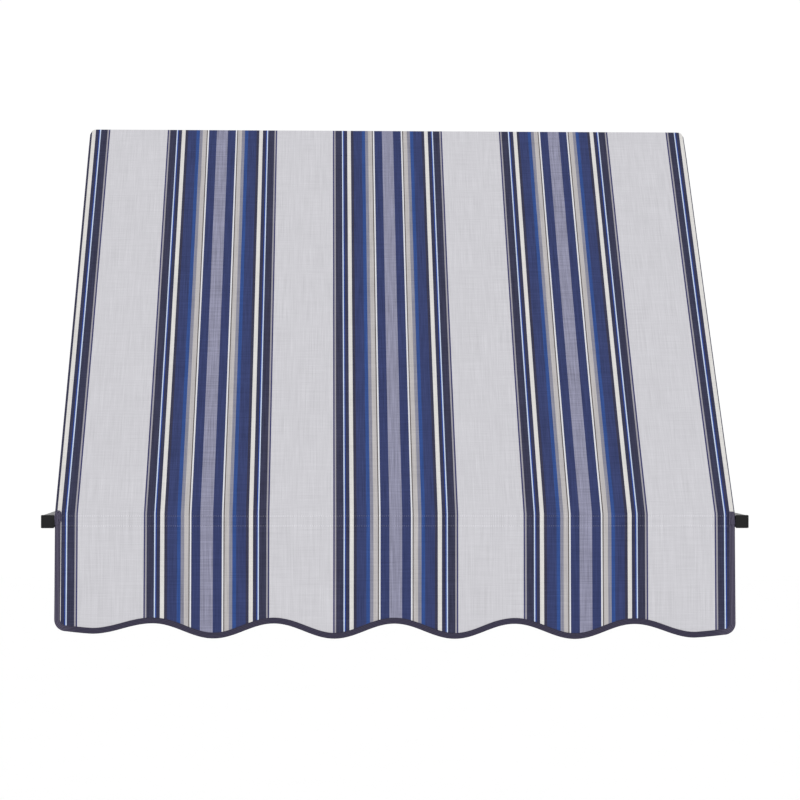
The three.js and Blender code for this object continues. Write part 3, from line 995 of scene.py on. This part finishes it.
def grown(thing, group, **values):
    """The object as the node group makes it, with the group's inputs set by name, as a plain mesh."""
    modifier = thing.modifiers.new("nodes", "NODES")
    modifier.node_group = group
    for item in group.interface.items_tree:
        label = item.name.replace(" ", "_")
        if item.item_type == "SOCKET" and item.in_out == "INPUT" and label in values:
            modifier[item.identifier] = values[label]
    return made_plain(thing)


def stitch_tree():
    """Geometry Nodes that set stitches along the edges of a mesh."""
    tree = Tree("stitches_along_edges", Pitch="Float", Stitch_length="Float", Thread_radius="Float",
                Material="Material")
    given, add = tree.given, tree.add
    line = add("GeometryNodeMeshToCurve", None, {"Mesh": given["Geometry"]})
    spaced = add("GeometryNodeResampleCurve", {"mode": "LENGTH"},
                 {"Curve": line.outputs[0], "Length": given["Pitch"]})
    ball = add("GeometryNodeMeshUVSphere", None, {"Segments": 8, "Rings": 6, "Radius": 1.0})
    long_way = add("ShaderNodeMath", {"operation": "MULTIPLY"}, {0: given["Stitch length"], 1: 0.5})
    size = add("ShaderNodeCombineXYZ", None,
               {0: long_way.outputs[0], 1: given["Thread radius"], 2: given["Thread radius"]})
    stitch = add("GeometryNodeTransform", None, {"Geometry": ball.outputs["Mesh"], "Scale": size.outputs[0]})
    smooth = add("GeometryNodeSetShadeSmooth", None, {0: stitch.outputs[0]})
    tangent = add("GeometryNodeInputTangent")
    turned = add("FunctionNodeAlignRotationToVector", {"axis": "X"}, {"Vector": tangent.outputs[0]})
    chance = add("FunctionNodeRandomValue", {"data_type": "FLOAT"}, {"Min": -0.06, "Max": 0.06, "Seed": 11})
    tilt = add("FunctionNodeAxisAngleToRotation", None, {"Axis": (0, 1, 0), "Angle": random_float(chance)})
    both = add("FunctionNodeRotateRotation", {"rotation_space": "GLOBAL"},
               {0: turned.outputs[0], 1: tilt.outputs[0]})
    return tree.end(add("GeometryNodeInstanceOnPoints", None, {
        "Points": spaced.outputs[0], "Instance": smooth.outputs[0], "Rotation": both.outputs[0]}))


def random_float(node):
    """The number output of a random value node."""
    return next(socket for socket in node.outputs if socket.enabled and socket.type == "VALUE")


def stitched(name, lines, material, pitch, stitch, thread):
    """A plain mesh of stitches along lists of points."""
    corners, edges = [], []
    for line in lines:
        start = len(corners)
        corners += [tuple(point) for point in line]
        edges += [(start + i, start + i + 1) for i in range(len(line) - 1)]
    mesh = bpy.data.meshes.new(name)
    mesh.from_pydata(corners, edges, [])
    group = bpy.data.node_groups.get("stitches_along_edges") or stitch_tree()
    return grown(new_object(name, mesh, None), group, Pitch=pitch, Stitch_length=stitch, Thread_radius=thread,
                 Material=material)


SEAM_ROWS = (3.6 * MM, 21.4 * MM)  # below the fold


class AWNING_OT_stitches(bpy.types.Operator):
    """Sew the two seam rows below the fold and the row along the binding"""
    bl_idname = "awning.stitches"
    bl_label = "Stitches"

    def execute(self, context):
        scene = context.scene
        settings = scene.awning_stitches
        light = once("clear_thread", clear_thread, scene.awning_stripes)
        surface = scene.awning_cloth.thickness / 2 + settings.thread * 0.35
        half = SLEEVE_HIGH.x - 2 * MM
        count = 300
        rows = []
        for z in (FOLD.z - below for below in SEAM_ROWS):
            row = []
            for i in range(count + 1):
                x = -half + 2 * half * i / count
                up = z + noise.noise(Vector((x * 7, z * 40, 0))) * 0.35 * MM
                row.append(on_valance(scene, x, up, -surface))
            rows.append(row)
        seams = stitched("seam_stitches", rows, light, pitch=settings.pitch, stitch=settings.pitch * 0.52,
                         thread=settings.thread)
        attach(seams, BAR_BODY)

        navy = once("navy_thread", twisted_thread, "navy_thread", tuple(settings.edge_colour))
        inset = scene.awning_binding.width - 1.6 * MM
        lift = scene.awning_cloth.thickness / 2 + scene.awning_binding.thickness + 0.16 * MM
        lines = []
        for face in (-1, 1):
            line = []
            for spot, way in binding_line()[2:-2]:
                place = spot + way * inset
                line.append(on_valance(scene, place.x, place.z, face * lift))
            lines.append(line)
        edge = stitched("binding_stitches", lines, navy, pitch=3 * MM, stitch=2.3 * MM, thread=0.24 * MM)
        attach(edge, BAR_BODY)
        return {"FINISHED"}


# ---------------------------------------------------------------- frame

# The arm's end caps: a flange on the tube's end with a shallow panel in its face, and a plug in the tube
CAP_THICKNESS = {"front": 2.5 * MM, "rear": 2 * MM}
CAP_CORNER = 1.8 * MM
CAP_PLUG = 5.7 * MM
TUBE_INSIDE = 9.1 * MM  # half the inside width of a tube, less the plug's slack

# Distance in from the flange's side, and distance below its face
CAP_FACE = [(inset * MM, below * MM) for inset, below in (
    (0, 0.9), (0.12, 0.42), (0.42, 0.12), (0.9, 0), (2.6, 0), (2.85, 0.1), (3, 0.35), (3.6, 0.4), (7, 0.3),
    (10, 0.25))]


def rounded_square(half, radius, steps=5):
    """Points round a square with rounded corners."""
    inner = half - radius
    points = []
    for quarter, (across, up) in enumerate(((1, 1), (-1, 1), (-1, -1), (1, -1))):
        for step in range(steps + 1):
            angle = math.pi / 2 * (quarter + step / steps)
            points.append((inner * across + radius * math.cos(angle), inner * up + radius * math.sin(angle)))
    return points


class AWNING_OT_caps(bpy.types.Operator):
    """Make the moulded caps on the ends of the two arms"""
    bl_idname = "awning.caps"
    bl_label = "Arm caps"

    def execute(self, context):
        pivot = next(Vector(joint["pos_m"]) for joint in frame["joints"] if joint["name"] == "frame_swing")
        pivot.x = 0
        arm_way = (Vector((0, BAR_Y, BAR_Z)) - pivot).normalized()
        for place, _ in SIDES:
            for end, way in (("front", arm_way), ("rear", -arm_way)):
                cap = self.cap(f"arm_{end}_cap_{place}_moulded", f"arm_{end}_cap_{place}", pivot, way,
                               CAP_THICKNESS[end])
                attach(cap, ARM_BODY)
        return {"FINISHED"}

    @staticmethod
    def cap(name, node, pivot, way, thickness):
        """One cap in the place of its node, facing along the arm."""
        low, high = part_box(node)
        half = (high.x - low.x) / 2
        tilt = abs(way.z) * half
        tip = low.y + tilt if way.y < 0 else high.y - tilt
        face = pivot + way * ((tip - pivot.y) / way.y)
        face.x = (low.x + high.x) / 2
        up = Vector((0, -way.z, way.y)) * math.copysign(1, way.y)
        profile = [(half - TUBE_INSIDE, thickness + CAP_PLUG), (half - TUBE_INSIDE, thickness),
                   (0.15 * MM, thickness), (0, thickness - 0.15 * MM), *CAP_FACE]
        rings = []
        for inset, below in profile:
            radius = max(CAP_CORNER - inset, 0.25 * MM)
            rings.append([face - way * below + Vector((u, 0, 0)) + up * v
                          for u, v in rounded_square(half - inset, radius)])
        plans = [[(0.0, below)] * len(ring) for ring, (_, below) in zip(rings, profile)]
        cap = swept(name, rings, plans, once("grained_plastic", moulded_plastic))
        cap.data.set_sharp_from_angle(angle=math.radians(40))
        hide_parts(node)
        return cap


def screw_tree():
    """Geometry Nodes that set one fixing at each point of a mesh, each turned its own way about Y."""
    tree = Tree("fixing_at_points", Fixing="Object", Turn="Float", Material="Material")
    given, add = tree.given, tree.add
    fixing = add("GeometryNodeObjectInfo", None, {"Object": given["Fixing"]})
    chance = add("FunctionNodeRandomValue", {"data_type": "FLOAT"}, {"Seed": 5})
    turn = add("ShaderNodeMath", {"operation": "MULTIPLY"}, {0: random_float(chance), 1: given["Turn"]})
    rotation = add("FunctionNodeAxisAngleToRotation", None, {"Axis": (0, 1, 0), "Angle": turn.outputs[0]})
    return tree.end(add("GeometryNodeInstanceOnPoints", None, {
        "Points": given["Geometry"], "Instance": fixing.outputs["Geometry"],
        "Rotation": rotation.outputs[0]}))


class AWNING_OT_screws(bpy.types.Operator):
    """Make the pan-head screws that hold the batten, each with a cross recess"""
    bl_idname = "awning.screws"
    bl_label = "Batten screws"

    def execute(self, context):
        boxes = [(name, *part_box(name)) for name in sorted(frame["nodes"]) if name.startswith("batten_screw_")]
        _, low, high = boxes[0]
        screw = self.screw((high.z - low.z) / 2, high.y - low.y)
        mesh = bpy.data.meshes.new("batten_screws")
        mesh.from_pydata([((a.x + b.x) / 2, b.y, (a.z + b.z) / 2) for _, a, b in boxes], [], [])
        screws = grown(new_object("batten_screws", mesh, None), screw_tree(), Fixing=screw, Turn=math.tau,
                       Material=once("zinc_plate", zinc_plate))
        bpy.data.objects.remove(screw)
        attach(screws, WALL_BODY)
        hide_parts(*[name for name, _, _ in boxes])
        return {"FINISHED"}

    @staticmethod
    def screw(head_radius, length):
        """One screw along Y, with the top of its head at the origin."""
        head = 2 * MM
        shank = head_radius / 2
        profile = [(0.3 * MM, -length), (shank * 0.7, -length + 1.2 * MM), (shank, -length + 2.4 * MM),
                   (shank, -head), (head_radius - 0.15 * MM, -head), (head_radius, -head + 0.2 * MM)]
        profile += [(head_radius * math.cos(a), -head + 0.5 * MM + (head - 0.5 * MM) * math.sin(a))
                    for a in (math.pi / 2 * i / 6 for i in range(6))]
        profile.append((0.4 * MM, 0))
        sides = 24
        rings = [[Vector((r * math.cos(math.tau * i / sides), y, r * math.sin(math.tau * i / sides)))
                  for i in range(sides)] for r, y in profile]
        plans = [[(0.0, y)] * sides for _, y in profile]
        screw = swept("one_screw", rings, plans, None)
        arm, deep = 0.45 * MM, 1.1 * MM
        reach = head_radius * 0.55
        cross, quarter = [], [(arm, arm), (reach, arm), (reach, -arm)]
        for _ in range(4):
            cross += quarter
            quarter = [(z, -x) for x, z in quarter]
        ends = [[Vector((x * wide, y, z * wide)) for x, z in cross] for wide, y in ((0.8, -deep), (1.1, MM))]
        cutter = swept("cross_cutter", ends, [[(0, 0)] * len(cross)] * 2, None)
        cut = screw.modifiers.new("cross", "BOOLEAN")
        cut.operation = "DIFFERENCE"
        cut.object = cutter
        made_plain(screw)
        bpy.data.objects.remove(cutter)
        return screw


class AWNING_OT_frame(bpy.types.Operator):
    """Finish the tubes, brackets, caps and fixings of the frame"""
    bl_idname = "awning.frame"
    bl_label = "Frame"

    def execute(self, context):
        looks = {
            METAL_SLOT: once("satin_powder_coat", powder_coat),
            PLASTIC_SLOT: once("grained_plastic", moulded_plastic),
            ZINC_SLOT: once("zinc_plate", zinc_plate),
        }
        for entry in frame["record"]["subparts"]:
            look = looks.get(entry["material_slot"])
            if look:
                node = frame["nodes"][entry["node"]]
                node.data.materials.clear()
                node.data.materials.append(look)
        return {"FINISHED"}


# ---------------------------------------------------------------- stage


FLOOR_SIZE = 40
LIGHT_PLACE, LIGHT_AIM = Vector((1.5, -6.5, 2.4)), Vector((0, -0.3, -0.5))
LIGHT_SIZE = (5, 4)
CAMERA_PLACE = (-0.1265, -4.7885, -0.7715)
CAMERA_RISE, CAMERA_TURN = 0.0483, -0.0318  # looking a little up, and a little to the right


class AWNING_OT_stage(bpy.types.Operator):
    """Set the floor, the soft light and the camera"""
    bl_idname = "awning.stage"
    bl_label = "Stage"

    def execute(self, context):
        scene = context.scene
        settings = scene.awning_stage
        scene.view_settings.view_transform = "Standard"
        world = bpy.data.worlds.new("studio")
        scene.world = world
        world.use_nodes = True
        background = world.node_tree.nodes["Background"]
        background.inputs["Color"].default_value = (1, 1, 1, 1)
        background.inputs["Strength"].default_value = settings.world

        size, height = FLOOR_SIZE, settings.floor
        mesh = bpy.data.meshes.new("floor")
        mesh.from_pydata([(-size, -size, height), (size, -size, height), (size, size, height),
                          (-size, size, height)], [], [(0, 1, 2, 3)])
        shader = Shader("floor_paint", Roughness=0.9)
        soft = shader.cloudy(shader.object_place(), 2, 2)
        shader.feed("Base Color", shader.shade(shader.plain((0.99, 0.99, 0.99)), soft * 0.01 + 0.995))
        floor = new_object("floor", mesh, shader.material)

        lamp = bpy.data.lights.new("front_light", "AREA")
        lamp.shape = "RECTANGLE"
        lamp.size, lamp.size_y = LIGHT_SIZE
        lamp.energy = settings.key
        light = bpy.data.objects.new("front_light", lamp)
        light.location = LIGHT_PLACE
        aim = LIGHT_AIM - light.location
        light.rotation_euler = aim.to_track_quat("-Z", "Y").to_euler()
        scene.collection.objects.link(light)

        lens = bpy.data.cameras.new("camera")
        lens.lens = settings.lens
        lens.sensor_width = 36
        lens.clip_end = 200
        camera = bpy.data.objects.new("camera", lens)
        camera.location = CAMERA_PLACE
        camera.rotation_euler = (math.pi / 2 + CAMERA_RISE, 0, CAMERA_TURN)
        scene.collection.objects.link(camera)
        scene.camera = camera
        return {"FINISHED"}


# ---------------------------------------------------------------- add-on


OPERATORS = (AWNING_OT_stage, AWNING_OT_frame, AWNING_OT_caps, AWNING_OT_screws, AWNING_OT_canopy,
             AWNING_OT_pocket, AWNING_OT_valance, AWNING_OT_binding, AWNING_OT_stitches)


class AWNING_PT_panel(bpy.types.Panel):
    """Lists the awning's pieces and their settings"""
    bl_idname = "AWNING_PT_panel"
    bl_label = "Window awning"
    bl_space_type = "VIEW_3D"
    bl_region_type = "UI"
    bl_category = "Awning"

    def draw(self, context):
        for operator in OPERATORS:
            self.layout.operator(operator.bl_idname)
        for name, group in SETTINGS.items():
            box = self.layout.box()
            for setting in group.__annotations__:
                box.prop(getattr(context.scene, name), setting)


CLASSES = (*SETTINGS.values(), *OPERATORS, AWNING_PT_panel)


def register():
    for item in CLASSES:
        bpy.utils.register_class(item)
    for name, group in SETTINGS.items():
        setattr(bpy.types.Scene, name, PointerProperty(type=group))


def unregister():
    for name in SETTINGS:
        delattr(bpy.types.Scene, name)
    for item in reversed(CLASSES):
        bpy.utils.unregister_class(item)


def main():
    register()
    for operator in OPERATORS:
        module, name = operator.bl_idname.split(".")
        getattr(getattr(bpy.ops, module), name)()


if __name__ == "__main__":
    main()
